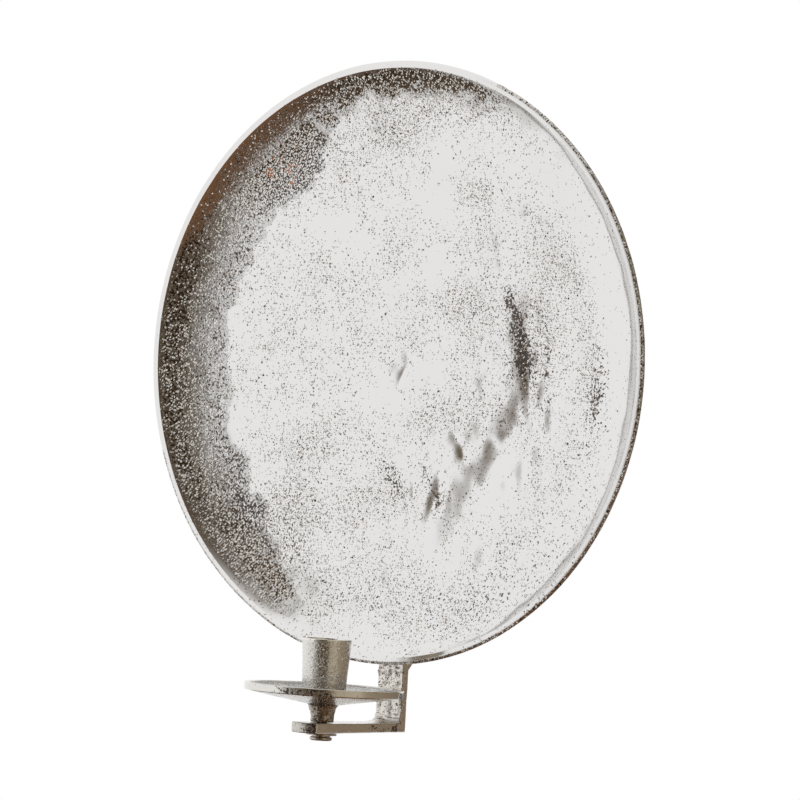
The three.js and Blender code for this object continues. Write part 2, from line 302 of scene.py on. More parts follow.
def make_floor():
    """A pale round floor that fades into the white background, sooner in reflections."""
    material, place = bare_material("pale_floor")
    tree = material.node_tree
    away = distance(place, (0.0, 0.0, 0.0))
    fade = ramp_between(away, STUDIO_FLOOR_RADIUS * 0.25, STUDIO_FLOOR_RADIUS * 0.8)
    glossy = add_node(tree, "LightPath").outputs["Is Glossy Ray"]
    sooner = ramp_between(away, FLAG_RADIUS * 0.9, FLAG_RADIUS * 1.2)
    fade = larger(fade, times(sooner, glossy))
    tone = mixed_colour(noise_value(place, 3.0), *map(rgba, STUDIO_FLOOR_COLOURS))
    matt = wire("BsdfDiffuse", {"Color": tone})
    white = add_node(tree, "Emission")
    covered(wire("MixShader", {0: fade, 1: matt.outputs[0], 2: white.outputs[0]}))
    bm = bmesh.new()
    bmesh.ops.create_circle(bm, cap_ends=True, segments=96, radius=STUDIO_FLOOR_RADIUS)
    bmesh.ops.translate(bm, verts=bm.verts, vec=UP * STUDIO_FLOOR_Z)
    stage_object("floor", bm, material)


# What polished metal sees at its right, by azimuth in degrees: low down, and higher up
FLAG_TONES = (
    (-32, WHITE),
    (-26, (0.70, 0.69, 0.68)),
    (-17, (0.41, 0.39, 0.37)),
    (-8, (0.25, 0.22, 0.18)),
    (11, (0.105, 0.080, 0.052)),
    (40, (0.095, 0.070, 0.045)),
    (52, (0.46, 0.40, 0.30)),
    (86, (0.52, 0.46, 0.36)),
    (100, (0.33, 0.27, 0.20)),
    (150, (0.27, 0.21, 0.15)),
    (174, (0.22, 0.18, 0.14)),
    (182, WHITE),
)
HIGH_FLAG_TONES = (
    (-32, WHITE),
    (-22, (0.90, 0.89, 0.87)),
    (-14, (0.36, 0.32, 0.27)),
    (-4, (0.13, 0.10, 0.07)),
    (40, (0.09, 0.065, 0.045)),
    (52, (0.38, 0.33, 0.25)),
    (86, (0.44, 0.38, 0.29)),
    (100, (0.30, 0.25, 0.18)),
    (174, (0.20, 0.16, 0.12)),
    (182, WHITE),
)
# What it sees below: from left to right, and paler at the far left and at the back
LOW_FLAG_TONES = ((0.10, 0.066, 0.045), (0.18, 0.088, 0.042))
LOW_FLAG_LEFT = (0.90, 0.90, 0.89)
LOW_FLAG_BACK = (0.62, 0.60, 0.58)


def tone_ramp(azimuth, tones):
    """Colours by azimuth, from the first tone's angle to straight back."""
    start = tones[0][0]
    span = 180.0 - start
    share = wire("MapRange", {0: azimuth, 1: math.radians(start), 2: math.pi}).outputs[0]
    ramp = wire("ValToRGB", {0: share})
    stops = ramp.color_ramp.elements
    stops[1].color = rgba(tones[-2][1])
    stops[0].color = rgba(tones[0][1])
    for angle, tone in tones[1:-1]:
        stops.new((angle - start) / span).color = rgba(tone)
    return ramp.outputs[0]


def make_card(name, bm, material, tone):
    """A card that only reflections see, glowing in its own tones: a painted reflection for the metal."""
    covered(wire("Emission", {"Color": tone}))
    stage_object(name, bm, material, glossy_only=True)


def make_side_flag():
    """A curved card that stands round the right side."""
    material, place = bare_material("side_flag")
    part = wire("SeparateXYZ", {0: place}).outputs
    azimuth = math_node("ARCTAN2", part["X"], times(part["Y"], -1.0))
    slanted = minus(part["Z"], times(part["X"], FLAG_SLANT))
    fade = ramp_between(slanted, *(dish_centre.z + FLAG_RADIUS * share for share in FLAG_FADE))
    upper = ramp_between(part["Z"], *(dish_centre.z + FLAG_RADIUS * share for share in FLAG_UPPER))
    both = (tone_ramp(azimuth, tones) for tones in (FLAG_TONES, HIGH_FLAG_TONES))
    tone = mixed_colour(upper, *both)
    tone = mixed_colour(fade, tone, rgba(WHITE))
    start, end = (math.radians(FLAG_TONES[index][0]) for index in (0, -1))
    foot = Vector((math.sin(start), -math.cos(start), 0.0)) * FLAG_RADIUS + UP * STUDIO_FLOOR_Z
    bm = bmesh.new()
    ends = [bm.verts.new(foot), bm.verts.new(foot + UP * FLAG_HEIGHT)]
    edge = bm.edges.new(ends)
    bmesh.ops.spin(bm, geom=[*ends, edge], cent=(0, 0, 0), axis=UP, angle=end - start, steps=72)
    make_card("side_flag", bm, material, tone)


def make_low_flag():
    """A flat card that lies under the object."""
    material, place = bare_material("low_flag")
    part = wire("SeparateXYZ", {0: place}).outputs
    tone = mixed_colour(ramp_between(part["X"], -1.0, 0.4), *map(rgba, LOW_FLAG_TONES))
    slanted = plus(part["X"], times(part["Y"], 0.6))
    tone = mixed_colour(ramp_between(slanted, -1.75, -1.35), rgba(LOW_FLAG_LEFT), tone)
    tone = mixed_colour(ramp_between(part["Y"], 0.9, 1.3), tone, rgba(LOW_FLAG_BACK))
    bm = bmesh.new()
    bmesh.ops.create_circle(bm, cap_ends=True, segments=72, radius=FLAG_RADIUS)
    bmesh.ops.translate(bm, verts=bm.verts, vec=LOW_FLAG_SHIFT + UP * STUDIO_FLOOR_Z)
    make_card("low_flag", bm, material, tone)


def make_lamps():
    """Two large soft lamps, one high at the left and one above."""
    for name, azimuth, elevation, away, size in LAMPS:
        light = bpy.data.lights.new(name, "AREA")
        light.size = size
        light.energy = LAMP_RADIANCE * math.pi * size * size
        a, e = math.radians(azimuth), math.radians(elevation)
        out = Vector((math.sin(a) * math.cos(e), -math.cos(a) * math.cos(e), math.sin(e)))
        lamp = bpy.data.objects.new(name, light)
        lamp.location = dish_centre + out * away
        lamp.rotation_mode = "QUATERNION"
        lamp.rotation_quaternion = out.to_track_quat("Z", "Y")
        lamp.visible_glossy = False
        bpy.context.scene.collection.objects.link(lamp)


# Finishes. A casting's mesh holds how rough, pitted and tarnished it is at each point; on the bracket's end
# and the pan's rim the tarnish also holds painted shade.
GRAIN, PITTING, SKIN = "grain", "pitting", "skin"
GRAIN_SIZE = 1.35 * MM
GRAIN_RISE = 0.30
PIT_DEPTH = 0.25 * MM
SKIN_DEPTH = 0.10 * MM
BRUSH_DEPTH = 0.05 * MM
TURNING_DEPTH = 0.03 * MM
DULL_ROUGHNESS = 0.45
BACK_ROUGHNESS = 0.38
POLISHED = (0.785, 0.775, 0.765)
DULL = (0.30, 0.25, 0.19)
PIT_COLOUR = (0.035, 0.022, 0.014)
PIT_EDGE = (0.40, 0.31, 0.23)
# Skin is the dark crust of the mould, where the polishing wheel has only touched the tops of the grain; on
# the bracket's end and the pan's rim it is also painted shade
SKIN_COLOUR = (0.125, 0.113, 0.110)
TOP_COLOUR = (0.97, 0.96, 0.94)
# Towards the lip the skin is browner and the tops are duller
RIM_SKIN_COLOUR = (0.108, 0.075, 0.046)
RIM_TOP_COLOUR = (0.82, 0.79, 0.74)
RIM_FROM = 134 * MM
RIM_TO = 152 * MM
# Painted copper glints: a copper-coloured reflection painted into the skin's colour round one place
PAINTED_GLINT_PLACE = dish_centre + Vector((-93 * MM, -15 * MM, 108 * MM))
PAINTED_GLINT_REACH = 16 * MM
PAINTED_GLINT_COLOUR = (0.56, 0.25, 0.14)
# The dish's tops: cell and radius, how they and the pits lie in X and Z, and the way that all tops face
TOP_CELL = 0.84 * MM
TOP_RADIUS = 0.50 * MM
TOP_LIE = (60, 1.8)
PIT_LIE = (90, 1.25)
TOPS_FACE = Vector((-0.05, -1.0, 0.03)).normalized()


def pits(place, cell, largest, share, flat, smallest=0.45):
    """Scattered pits of uneven size: 0 on the face and 1 in a pit's middle.
    Flat ones lie along X and Z, turned by an angle from X and drawn out that way."""
    sockets = {"Vector": place, "Scale": 1.7 / cell, "Detail": 1.0}
    wobble = wire("TexNoise", sockets).outputs["Color"]
    shift = vector_node("SUBTRACT", wobble, (0.5,) * 3).outputs[0]
    bent = vector_node("MULTIPLY_ADD", shift, (cell * 1.5,) * 3, place).outputs[0]
    if flat:
        turn, stretch = flat
        sockets = {0: bent, 2: (math.pi / 2, -math.radians(turn), 0), 3: (stretch, 1.0, 1.0)}
        bent = wire("Mapping", sockets, vector_type="TEXTURE").outputs[0]
    kind = "2D" if flat else "3D"
    cells = wire("TexVoronoi", {"Vector": bent, "Scale": 1 / cell}, voronoi_dimensions=kind)
    chance = wire("SeparateColor", {0: cells.outputs["Color"]}).outputs
    present = math_node("LESS_THAN", chance[0], share)
    widest = largest / cell
    size = scaled(times(chance[1], chance[1]), smallest * widest, widest)
    core = times(size, 0.55)
    inside = minus(1.0, ramp_between(cells.outputs["Distance"], core, size))
    return times(times(inside, present), scaled(chance[2], 0.35, 1.0))


def grains(place, size):
    """Small round tops of uneven height, as sand leaves them: 0 between them and 1 on the highest."""
    sockets = {"Vector": place, "Scale": 0.9 / size, "Detail": 1.0}
    wobble = wire("TexNoise", sockets).outputs["Color"]
    bent = vector_node("MULTIPLY_ADD", wobble, (size * 1.2,) * 3, place).outputs[0]
    cells = wire("TexVoronoi", {"Vector": bent, "Scale": 1 / size})
    chance = wire("SeparateColor", {0: cells.outputs["Color"]}).outputs
    rise = minus(1.0, ramp_between(cells.outputs["Distance"], 0.05, 0.60))
    return times(rise, scaled(chance[0], 0.2, 1.0))


def pitted(place, pitting, flat):
    """Large and small pits together."""
    large = pits(place, 1.50 * MM, 0.50 * MM, times(pitting, 0.80), flat)
    small = pits(place, 0.95 * MM, 0.36 * MM, times(pitting, 0.75), flat)
    return larger(large, times(small, 0.85))


def crusted(place, skin):
    """Ragged patches of skin: the more skin a point holds, the more of it they cover."""
    ragged = noise_value(place, 620.0, 2.0, 0.6)
    level = plus(ragged, times(skin, 0.36))
    return times(ramp_between(level, 0.65, 0.71), ramp_between(skin, 0.0, 0.08))


def cast_relief(place, grain, size, rise, holes, crust):
    """The height of the face with its grain, pits and skin, and where the tops of the grain are."""
    tops = grains(place, size)
    broad = noise_value(place, 0.5 / size, 1.5, 0.5)
    lumps = plus(tops, times(broad, 0.5))
    height = times(lumps, times(grain, rise))
    height = minus(height, times(holes, PIT_DEPTH))
    return minus(height, times(crust, SKIN_DEPTH)), tops


def cast_tone(colour, darker, tops, grain, crust, skin_colour):
    """The metal's colour: darker between the tops, and the skin's own colour where there is skin."""
    low = times(minus(1.0, tops), grain)
    tone = mixed_colour(low, rgba(colour), rgba([part * darker for part in colour]))
    return mixed_colour(crust, tone, skin_colour)


def cast_polish(place, grain, smooth, rough):
    """The polish's roughness, from smooth to rough with the grain and slightly patchy."""
    patchy = noise_value(place, 55.0, 3.0, 0.6)
    return plus(scaled(grain, smooth, rough), times(patchy, 0.05))


def cast_surface(tone, metal, polish, normal, holes, crust, specks):
    """Darkens the pits, dulls pits, skin and specks, and puts the metal on."""
    tone = mixed_colour(ramp_between(holes, 0.08, 0.35, 0.0, 0.9), tone, rgba(PIT_EDGE))
    tone = mixed_colour(ramp_between(holes, 0.50, 0.95), tone, rgba(PIT_COLOUR))
    dull = larger(larger(holes, crust), specks)
    sockets = {0: dull, 2: polish, 3: DULL_ROUGHNESS}
    roughness = wire("Mix", sockets, data_type="FLOAT").outputs[0]
    sockets = {"Base Color": tone, "Metallic": metal, "Roughness": roughness, "Normal": normal}
    covered(wire("BsdfPrincipled", sockets))


def bumped(height):
    return wire("Bump", {"Strength": 1.0, "Distance": 1.0, "Height": height}).outputs[0]


def casting(name, colour, smooth, rough, brush, size):
    """Cast and brushed metal, with pale specks where its grain was met by the wheel. The specks are partly
    non-metal, so they are painted glints as well as polished tops.
    """
    material, place = bare_material(name)
    tree = material.node_tree
    grain, pitting, skin = (attribute(tree, kind) for kind in (GRAIN, PITTING, SKIN))
    holes = pitted(place, pitting, None)
    crust = crusted(place, skin)
    height, tops = cast_relief(place, grain, size, GRAIN_RISE * size, holes, crust)
    stretched = wire("Mapping", {0: place, 3: brush}).outputs[0]
    scratches = noise_value(stretched, 1.0, 3.0, 0.6)
    height = plus(height, times(scratches, BRUSH_DEPTH))
    tone = cast_tone(colour, 0.62, tops, grain, crust, rgba(SKIN_COLOUR))
    # Pale, partly non-metal specks: polished tops of the grain, and painted glints that stay bright
    # whichever way they face
    specks = pits(place, size * 1.1, size * 0.50, times(grain, 0.62), None, 0.62)
    specks = ramp_between(specks, 0.06, 0.40)
    tone = mixed_colour(specks, tone, rgba([min(0.9, part * 1.14) for part in colour]))
    metal = minus(1.0, times(specks, 0.65))
    polish = cast_polish(place, grain, smooth, rough)
    cast_surface(tone, metal, polish, bumped(height), holes, crust, specks)
    return material


def painted_glints(place, crust, tone):
    """Painted copper-coloured glints in the skin round one place: a reflection painted into the colour."""
    away = distance(place, PAINTED_GLINT_PLACE)
    near = ramp_between(away, PAINTED_GLINT_REACH / 4, PAINTED_GLINT_REACH, 0.12, 0.0)
    warm = ramp_between(plus(noise_value(place, 240.0), near), 0.63, 0.67)
    inside = math_node("LESS_THAN", away, PAINTED_GLINT_REACH)
    warm = times(warm, times(crust, inside))
    return mixed_colour(warm, tone, rgba(PAINTED_GLINT_COLOUR))


def turned_tops(tree, specks, normal):
    """The normal, turned on the polished tops to the way that they all face."""
    turn = add_node(tree, "VectorTransform")
    turn.vector_type = "NORMAL"
    turn.convert_from = "OBJECT"
    turn.convert_to = "WORLD"
    turn.inputs[0].default_value = TOPS_FACE
    facet = turn.outputs[0]
    normal = wire("Mix", {0: specks, 4: normal, 5: facet}, data_type="VECTOR").outputs[1]
    return wire("VectorMath", {0: normal}, operation="NORMALIZE").outputs[0]


def dish_casting(name, colour, smooth, rough):
    """The dish's metal: mirror-like, with polished tops on its grain in front, and duller at the back."""
    material, place = bare_material(name)
    tree = material.node_tree
    share, pitting, skin = (attribute(tree, kind) for kind in (GRAIN, PITTING, SKIN))
    grain = ramp_between(share, 0.0, 0.12)
    facing = add_node(tree, "TexCoord").outputs["Normal"]
    facing = wire("SeparateXYZ", {0: facing}).outputs["Y"]
    back = math_node("GREATER_THAN", facing, 0.05)
    outward = ramp_between(distance(place, dish_centre), RIM_FROM, RIM_TO)
    holes = pitted(place, pitting, PIT_LIE)
    crust = crusted(place, skin)
    rise = GRAIN_RISE * GRAIN_SIZE
    rise = scaled(back, rise / 3, rise)
    height, tops = cast_relief(place, grain, GRAIN_SIZE, rise, holes, crust)
    skin_colour = mixed_colour(outward, rgba(SKIN_COLOUR), rgba(RIM_SKIN_COLOUR))
    tone = cast_tone(colour, 0.78, tops, grain, crust, skin_colour)
    # Painted reflection: copper glints painted into the skin's colour
    tone = painted_glints(place, crust, tone)
    often = larger(share, times(crust, 0.16))
    often = times(often, minus(1.0, back))
    specks = pits(place, TOP_CELL, TOP_RADIUS, often, TOP_LIE, 0.60)
    specks = ramp_between(specks, 0.10, 0.30)
    top_colour = mixed_colour(outward, rgba(TOP_COLOUR), rgba(RIM_TOP_COLOUR))
    tone = mixed_colour(specks, tone, top_colour)
    polish = cast_polish(place, grain, smooth, rough)
    polish = larger(polish, times(back, BACK_ROUGHNESS))
    normal = turned_tops(tree, specks, bumped(height))
    cast_surface(tone, 1.0, polish, normal, holes, crust, specks)
    return material


def turned_steel(name, colour, roughness, speck):
    """Plated steel with fine turning marks and small dull specks."""
    material, place = bare_material(name)
    marks = noise_value(place, 1500.0, 2.0, 0.6)
    specks = ramp_between(noise_value(place, 600.0, 2.0, 0.6), 0.58, 0.66)
    tone = mixed_colour(times(specks, speck), rgba(colour), rgba(DULL))
    bump = wire("Bump", {"Strength": 1.0, "Distance": TURNING_DEPTH, "Height": marks})
    rough = scaled(specks, roughness, roughness + 0.2)
    sockets = {"Base Color": tone, "Metallic": 1.0, "Roughness": rough, "Normal": bump.outputs[0]}
    covered(wire("BsdfPrincipled", sockets))
    return material


# Shapes
def curve_points(start, corner, end, steps):
    """Points along a quadratic curve, without its first point."""
    points = []
    for index in range(1, steps + 1):
        t = index / steps
        points.append(tuple(
            (1 - t) ** 2 * a + 2 * t * (1 - t) * b + t * t * c for a, b, c in zip(start, corner, end)
        ))
    return points


def line_points(start, end, steps):
    return [tuple(a + (b - a) * index / steps for a, b in zip(start, end)) for index in range(1, steps + 1)]


def softened(corners, step, closed=False):
    """A profile of (radius, height, rounding) corners: each is rounded off, and long runs get points."""
    arcs = []
    for index, (radius, height, rounding) in enumerate(corners):
        here = Vector((radius, height))
        ways = [Vector(corners[at % len(corners)][:2]) - here for at in (index - 1, index + 1)]
        start, end = (here + way.normalized() * rounding for way in ways)
        arcs.append([start, *map(Vector, curve_points(start, here, end, 4))] if rounding else [here])
    points = []
    following = arcs[1:] + (arcs[:1] if closed else [])
    for arc, after in zip(arcs, following):
        pieces = max(1, round((after[0] - arc[-1]).length / step))
        points += arc + [Vector(point) for point in line_points(arc[-1], after[0], pieces)][:-1]
    return points if closed else points + arcs[-1]


def spun(profile, steps, axis, centre, closed=False):
    """A body whose profile of (radius, height) points is turned once round an axis."""
    bm = bmesh.new()
    verts = [bm.verts.new(centre + ACROSS * radius + axis * height) for radius, height in profile]
    pairs = list(zip(verts, verts[1:] + verts[:1] if closed else verts[1:]))
    edges = [bm.edges.new(pair) for pair in pairs]
    bmesh.ops.spin(
        bm, geom=verts + edges, cent=centre, axis=axis, angle=2 * math.pi, steps=steps, use_merge=True
    )
    bmesh.ops.remove_doubles(bm, verts=bm.verts, dist=MERGE)
    bmesh.ops.recalc_face_normals(bm, faces=bm.faces)
    return bm


def extruded(outline, along):
    """A bar: a flat outline, pushed along a vector."""
    bm = bmesh.new()
    side = bm.faces.new([bm.verts.new(point) for point in outline])
    grown = bmesh.ops.extrude_face_region(bm, geom=[side])
    moved = [item for item in grown["geom"] if isinstance(item, bmesh.types.BMVert)]
    bmesh.ops.translate(bm, verts=moved, vec=along)
    bmesh.ops.recalc_face_normals(bm, faces=bm.faces)
    return bm


def creases(bm, angle):
    return [edge for edge in bm.edges if edge.calc_face_angle(0) > math.radians(angle)]


def bevelled(bm, edges, offset, segments):
    bmesh.ops.bevel(
        bm, geom=edges, offset=offset, offset_type="OFFSET", segments=segments, profile=0.5,
        affect="EDGES", material=-1,
    )


def cut_slot(bm, point, normal, length, depth_axis):
    """Sinks a driver's slot: a band of the head's flat face is pushed in."""
    half = SLOT_WIDTH / 2
    for side in (-1, 1):
        geom = [*bm.verts, *bm.edges, *bm.faces]
        bmesh.ops.bisect_plane(bm, geom=geom, plane_co=point + depth_axis * half * side, plane_no=depth_axis)
    band = [
        face for face in bm.faces
        if face.normal.dot(normal) > 0.5
        and abs((face.calc_center_median() - point).dot(depth_axis)) < half
        and abs((face.calc_center_median() - point).dot(normal)) < length
    ]
    region = bmesh.ops.extrude_face_region(bm, geom=band)
    bmesh.ops.delete(bm, geom=band, context="FACES_ONLY")
    moved = [item for item in region["geom"] if isinstance(item, bmesh.types.BMVert)]
    floor_at = point - normal * SLOT_DEPTH
    for vert in moved:
        vert.co -= normal * (vert.co - floor_at).dot(normal)


def roughened(bm, height, size, seed, keep):
    """Pushes each point in or out along its normal by smooth noise."""
    bm.normal_update()
    shift = Vector((seed * 7.3, seed * 3.1, seed * 5.7))
    moves = [
        vert.normal * noise.noise(vert.co / size + shift) * height * keep(vert.co) for vert in bm.verts
    ]
    for vert, move in zip(bm.verts, moves):
        vert.co += move


def painted(bm, rule):
    """Stores how grainy and pitted each point is, and how much mould skin is left on it; on the bracket's
    end and the pan's rim the skin also holds painted shade.
    """
    layers = [bm.verts.layers.float.new(name) for name in (GRAIN, PITTING, SKIN)]
    for vert in bm.verts:
        for layer, value in zip(layers, rule(vert.co, vert.normal)):
            vert[layer] = min(1.0, max(0.0, value))


def finished(bm, name, node, body, material):
    """Turns the mesh into a piece that rides on a body and stands for a node."""
    for face in bm.faces:
        face.smooth = True
    for edge in bm.edges:
        if len(edge.link_faces) == 2 and edge.calc_face_angle() > SHARP_ANGLE:
            edge.smooth = False
    mesh = bpy.data.meshes.new(name)
    bm.to_mesh(mesh)
    bm.free()
    mesh.materials.append(material)
    piece = bpy.data.objects.new(name, mesh)
    bpy.context.scene.collection.objects.link(piece)
    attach(piece, body)
    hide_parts(node)
    return piece


# Reflector dish
DISH_STEPS = 480
FLOOR_STEP = 2.4 * MM
# Dips in the floor, in mm from the dish's centre: x, z, half length, half width, turn, depth
DIPS = (
    (44, -46, 6.5, 5.6, 65, 1.6),
    (82, -18, 13, 5, 93, 0.5),
    (27, -75, 9, 4.0, 70, 1.2),
    (-1, -3, 6, 3.4, 75, 0.9),
    (55, -8, 10, 3.4, 85, 0.5),
    (54, -40, 12, 3.2, 80, 0.5),
    (66, -48, 15, 9.0, 64, 1.35),
    (70, -46, 12, 3.4, 75, 0.5),
    (56, -66, 20, 11, 58, 1.35),
    (44, -84, 16, 9, 55, 0.6),
    (64, 60, 2.6, 2.4, 0, 0.5),
    (76, 90, 3, 2.4, 0, 0.35),
    (10, -72, 5, 2.5, 75, 0.35),
    (103, -2, 14, 4, 95, 0.4),
    (101, -28, 8, 3.5, 80, 0.45),
    (60, 70, 8, 3.5, 80, 0.3),
    (60, -110, 10, 5, 40, 0.4),
    (0, -120, 12, 7, 60, 0.35),
)
# The cooling line right of the middle: the floor drops along an arc and rises again slowly
GROOVE_RADIUS = 79
GROOVE_DEPTH = 1.7
GROOVE_HALF_WIDTHS = (5, 15)
GROOVE_RISE = 42
GROOVE_FROM = math.radians(-50)
GROOVE_TO = math.radians(34)
# Marks left on the floor, in mm from its centre: x, z, half length, half width, turn, pitting, skin
MARKS = (
    (70.5, 37, 10, 3.0, 112, 0.7, 0.60),
    (76, 20, 14, 4.4, 104, 0.3, 0.66),
    (80.5, 3, 10, 6.4, 106, 0.3, 0.76),
    (132, -11, 22, 7.0, 92, 0.9, 0.44),
    (90, 16, 34, 12, 95, 0.45, 0.10),
    (97, -2, 20, 2.2, 94, 0.4, 0.34),
    (-14, 130, 16, 8, 0, 0.8, 0.10),
    (-30, 122, 34, 14, 20, 0.4, 0.05),
    (37, 99, 14, 9, 0, 0.6, 0.06),
    (76, 90, 4, 3, 0, 0.8, 0.25),
    (36, 36, 36, 13, 0, 0.6, 0.1),
    (42, -26, 36, 14, 10, 0.55, 0.1),
    (112, -92, 46, 28, 50, 0.5, 0.10),
    (60, -132, 36, 15, 15, 0.7, 0.16),
    (-24, -78, 28, 14, 0, 0.45, 0.06),
    (-50, -90, 26, 12, 0, 0.45, 0.08),
    (-76, -53, 14, 10, 0, 0.4, 0.05),
    (-4, -66, 13, 4, 125, 0.5, 0.42),
    (19, -60, 6, 2.2, 112, 0.5, 0.42),
    (27, -74, 7, 3.4, 112, 0.6, 0.58),
    (64, 138, 44, 12, 155, 0.9, 0.06),
    (-74, 112, 26, 10, 46, 0.1, 0.20),
    (0, 147, 46, 9, 0, 0.9, 0.05),
    (110, 30, 50, 26, 100, 0.25, 0.0),
    (-72, -78, 34, 16, 60, 0.6, 0.10),
    (-78, -104, 22, 16, 130, 0.7, 0.12),
    (-10, -130, 26, 22, 0, 0.5, 0.10),
    (-49, -128, 18, 9, -30, 0.6, 0.10),
    (100, 60, 44, 34, 70, 0.4, 0.0),
    (-60, 20, 50, 50, 0, 0.2, 0.0),
)


def falloff(x, z, spot):
    """1 in the middle of a spot and fading out round it."""
    centre_x, centre_z, half_length, half_width, turn = spot[:5]
    if max(abs(x - centre_x), abs(z - centre_z)) > 2.4 * half_length:
        return 0.0
    cosine, sine = math.cos(math.radians(turn)), math.sin(math.radians(turn))
    along = ((x - centre_x) * cosine + (z - centre_z) * sine) / half_length
    across = ((z - centre_z) * cosine - (x - centre_x) * sine) / half_width
    return math.exp(-along * along - across * across)


def waves(x, z, size, seed):
    """Smooth noise over the dish's plane."""
    return noise.noise(Vector((x / size, z / size, seed)))


def wandered(x, z, reach, size):
    """The place shifted by smooth noise, so that a spot gets an uneven outline."""
    return x + reach * waves(x, z, size, 14.3), z + reach * waves(x, z, size, 27.9)


def rising(value, low, high):
    """A smooth step of value, from 0 at low to 1 at high."""
    t = min(1.0, max(0.0, (value - low) / (high - low)))
    return t * t * (3 - 2 * t)


def falling(value, low, high):
    return 1 - rising(value, low, high)


def dish_profile():
    lip_radius = RIM_RADIUS - LIP_WIDTH
    depth = FLOOR_Y - LIP_Y
    inner_corner = (lip_radius - depth / math.tan(WALL_ANGLE), FLOOR_Y)
    round_centre = RIM_RADIUS - RIM_ROUND
    points = [(0.0, FLOOR_Y)]
    points += line_points(points[-1], (FLOOR_RADIUS, FLOOR_Y), round(FLOOR_RADIUS / FLOOR_STEP))
    points += curve_points(points[-1], inner_corner, (lip_radius, LIP_Y), 26)
    points += line_points(points[-1], (round_centre, LIP_Y), 3)
    sweep = math.pi - WALL_ANGLE
    for index in range(1, 8):
        turn = sweep * index / 7
        points.append((
            round_centre + RIM_ROUND * math.sin(turn), LIP_Y + RIM_ROUND * (1 - math.cos(turn))
        ))
    wall_start = points[-1]
    outer_corner = (wall_start[0] - (BACK_Y - wall_start[1]) / math.tan(WALL_ANGLE), BACK_Y)
    points += curve_points(wall_start, outer_corner, (FLOOR_RADIUS, BACK_Y), 14)
    points += line_points(points[-1], (0.0, BACK_Y), 24)
    return points


def floor_relief(x, z):
    """How far the floor lies behind its plane, in mm."""
    radius, angle = math.hypot(x, z), math.atan2(z, x)
    wave = 0.30 * waves(x, z, 48, 3.1) + 0.07 * waves(x, z, 17, 8.4)
    near = wandered(x, z, 5.5, 8.0)
    dips = sum(spot[5] * falloff(*near, spot) for spot in DIPS)
    ends = rising(angle, GROOVE_FROM, GROOVE_FROM + 0.5)
    ends *= falling(angle, GROOVE_TO - 0.4, GROOVE_TO)
    waver = 7.0 * noise.noise(Vector((angle * 5, 0.0, 5.5)))
    narrow, wide = GROOVE_HALF_WIDTHS
    half = narrow + (wide - narrow) * rising(-angle, 0.1, 0.6)
    offset = radius - GROOVE_RADIUS - waver
    groove = rising(offset, -half, half) * falling(offset, half, GROOVE_RISE)
    uneven = 0.8 + 0.7 * noise.noise(Vector((x / 6, z / 18, 2.6)))
    return wave + dips + GROOVE_DEPTH * ends * groove * uneven


def dish_place(co):
    """A point's place on the dish's plane, in mm from its centre."""
    return co.x / MM, (co.z - dish_centre.z) / MM


def front_relief(x, z, radius):
    """How far the floor and the wall lie behind their plain shape, in mm."""
    wall = rising(radius, 122, 136) * falling(radius, 160, 166)
    relief = floor_relief(x, z) * falling(radius, 128, 150)
    relief += wall * 0.55 * waves(x, z, 26, 1.7)
    return relief + wall * 0.22 * waves(x, z, 9, 6.2)


def hand_shaped(vert, front):
    """Moves a point of the dish: an uneven floor, wall and back, and a lip worn back and in."""
    x, z = dish_place(vert.co)
    radius, angle = math.hypot(x, z), math.atan2(z, x)
    around = Vector((math.cos(angle), math.sin(angle), 0.0))
    edge = rising(radius, 150, 168)
    if front:
        lift = 0.35 * edge * (0.5 + 0.5 * noise.noise(around * 4.0 + UP * 7.7))
        vert.co.y += (front_relief(x, z, radius) + lift) * MM
    else:
        vert.co.y -= (0.10 + 0.10 * waves(x, z, 12, 2.2)) * MM
    if radius > 1:
        inward = 0.5 + 0.5 * noise.noise(around * 2.6 + UP * 4.2)
        inward += 0.25 * noise.noise(around * 14 + UP * 9.6)
        shrink = 1 - edge * inward * 0.30 / radius
        vert.co.x *= shrink
        vert.co.z = dish_centre.z + (vert.co.z - dish_centre.z) * shrink


# Grain, pitting and skin on the dish's back, and outside its lip at the right and below
BACK_FINISH = (0.8, 0.22, 0.12)
LIP_FINISH = (0.5, 0.7, 0.3)


def marked(x, z, cover):
    """Pitting and skin on the floor: a thin spread of both, and the marks."""
    pitting = 0.20 + 0.40 * cover + 0.32 * waves(x, z, 10, 19.0)
    skin = 0.05 * cover
    near = wandered(x, z, 4.0, 6.0)
    for spot in MARKS:
        share = falloff(*near, spot)
        pitting += share * spot[5]
        skin += share * spot[6]
    return pitting, skin


def cast_wall(x, z, radius, up, cover):
    """1 where the wall was left as cast, from its ragged inner edge to the lip."""
    ragged = up + 0.05 * waves(x, z, 11, 31.0)
    inner = 124 + 26 * rising(ragged, 0.82, 0.94) + 24 * rising(-up, 0.62, 0.98)
    inner += 7 * rising(x, 15, 45) * rising(up, 0.6, 0.8)
    inner += 6 * waves(x, z, 14, 23.0) + 3 * waves(x, z, 5, 37.0)
    outer = 163.0 - 3 * rising(-up, 0.35, 0.85)
    wall = rising(radius + 6 * cover, inner, inner + 6) * falling(radius, outer, outer + 3)
    return wall * falling(-up, 0.87, 0.94)


def top_density(radius, up, cover):
    """How many of the wall's grains have a polished top: most of them high and low on the dish."""
    dense = 0.32 + 0.68 * max(rising(up, 0.40, 0.66), rising(-up, 0.58, 0.76))
    dense *= 1 - 0.5 * rising(radius, 148, 158) * rising(up, 0.05, 0.30)
    outside = rising(radius + 8 * cover, 136, 150) * falling(up, 0.0, 0.25)
    dense = max(dense, outside * (0.46 - 0.18 * rising(-up, 0.66, 0.80)))
    return dense * (1 - 0.55 * rising(-up, 0.60, 0.75) * rising(radius, 149, 157))


